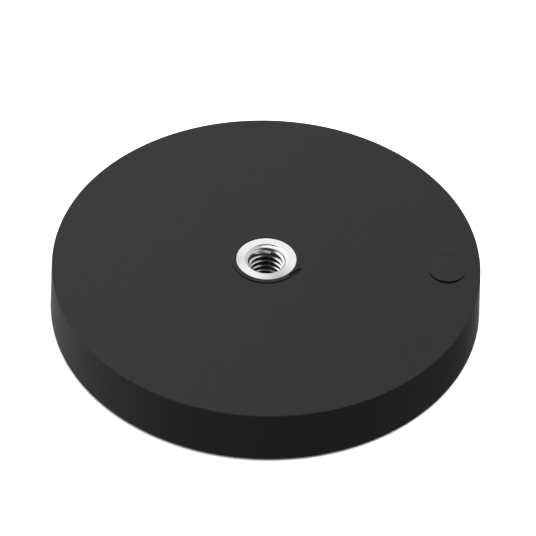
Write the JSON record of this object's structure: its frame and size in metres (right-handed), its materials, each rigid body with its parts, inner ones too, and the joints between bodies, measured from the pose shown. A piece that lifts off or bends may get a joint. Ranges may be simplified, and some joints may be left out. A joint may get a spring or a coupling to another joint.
{
  "type": "pot magnet",
  "caption": "Round rubber-coated pot magnet: a flat disc that holds to steel by its underside and takes a screw in a threaded bush at the centre of its top.",
  "frame": {"origin": "centre of the magnetic face, on the thread axis", "axes": "+Z along the thread axis, out of the bush's mouth; +X from the thread axis through the gate pad on the mounting face"},
  "size_m": [0.066, 0.066, 0.0088],
  "materials": {
    "jacket_rubber": "matte",
    "plate_steel": "satin",
    "bush_steel": "satin",
    "magnet_nickel": "polished"
  },
  "bodies": {
    "root": {"rubber_jacket": "jacket_rubber", "back_plate": "plate_steel", "threaded_bush": "bush_steel", "outer_magnet_01": "magnet_nickel", "outer_magnet_02": "magnet_nickel", "outer_magnet_03": "magnet_nickel", "outer_magnet_04": "magnet_nickel", "outer_magnet_05": "magnet_nickel", "outer_magnet_06": "magnet_nickel", "outer_magnet_07": "magnet_nickel", "outer_magnet_08": "magnet_nickel", "outer_magnet_09": "magnet_nickel", "outer_magnet_10": "magnet_nickel", "outer_magnet_11": "magnet_nickel", "outer_magnet_12": "magnet_nickel", "inner_magnet_01": "magnet_nickel", "inner_magnet_02": "magnet_nickel", "inner_magnet_03": "magnet_nickel", "inner_magnet_04": "magnet_nickel", "inner_magnet_05": "magnet_nickel", "inner_magnet_06": "magnet_nickel"}
  },
  "joints": []
}
